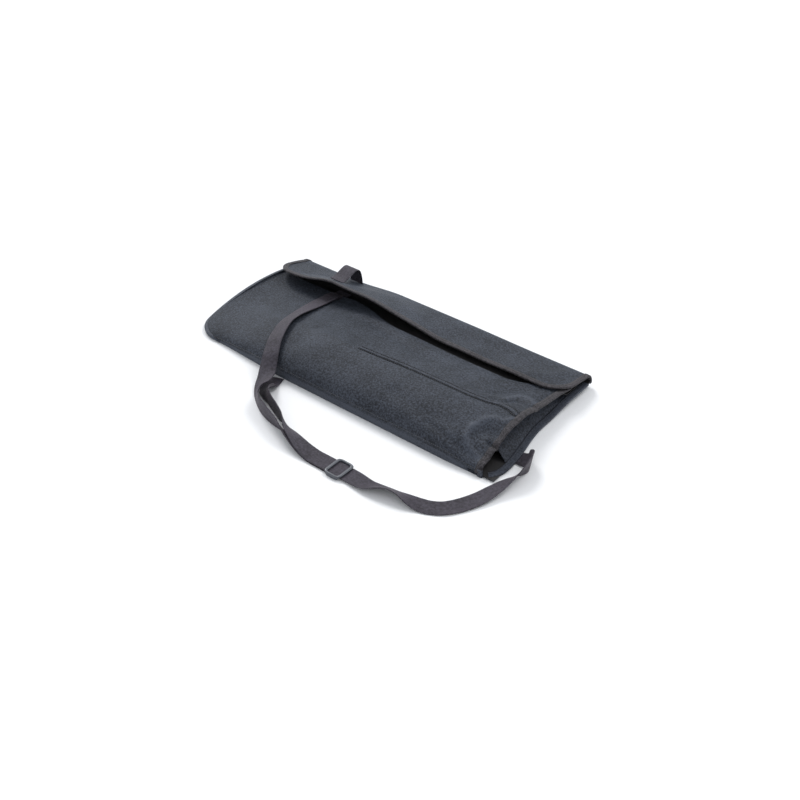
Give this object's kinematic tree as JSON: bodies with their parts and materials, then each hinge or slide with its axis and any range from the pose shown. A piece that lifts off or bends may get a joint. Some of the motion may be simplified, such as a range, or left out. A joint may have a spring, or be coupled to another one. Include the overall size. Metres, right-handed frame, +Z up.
{
  "type": "music stand carry bag",
  "caption": "Flat nylon carry bag for a folding music stand, with a hinged flap, a bellows end and an adjustable webbing shoulder strap.",
  "frame": {"origin": "middle of the underside of the back panel, on the surface the bag lies on", "axes": "+X along the bag towards the bellows end, +Y across it towards the flap's fold, +Z up"},
  "size_m": [0.5773, 0.3725, 0.0517],
  "materials": {
    "nylon": "plain-woven nylon with a slight sheen",
    "binding_tape": "ribbed binding tape, matt",
    "webbing": "ribbed webbing, slight sheen",
    "fastener_tape": "hook and loop pile, matt",
    "slider_plastic": "moulded, satin"
  },
  "bodies": {
    "bag": {"back_panel": "nylon", "front_panel": "nylon", "near_gusset": "nylon", "left_end_gusset": "nylon", "bellows_lower_leaf": "nylon", "bellows_upper_leaf": "nylon", "mouth_hem": "binding_tape", "inner_pocket": "nylon", "front_end_binding": "binding_tape", "back_end_binding": "binding_tape", "left_end_binding": "binding_tape", "near_corner_binding": "binding_tape", "front_loop_strip": "fastener_tape", "band_patch": "webbing", "cinch_strap": "webbing", "shoulder_strap": "webbing", "strap_end_patch": "webbing"},
    "flap": {"flap": "nylon", "flap_binding": "binding_tape", "flap_hook_strip": "fastener_tape", "flap_webbing_loop": "webbing"},
    "slider": {"slider": "slider_plastic", "strap_bar_loop": "webbing"}
  },
  "joints": [
    {"name": "flap_hinge", "type": "hinge", "parent": "bag", "child": "flap", "pos_m": [0, 0.1275, 0.0065], "axis": [-1, 0, 0], "range_deg": [0, 120]},
    {"name": "slider_slide", "type": "slide", "parent": "bag", "child": "slider", "axis": [1, 0, 0], "range_m": [-0.008, 0.008]}
  ]
}
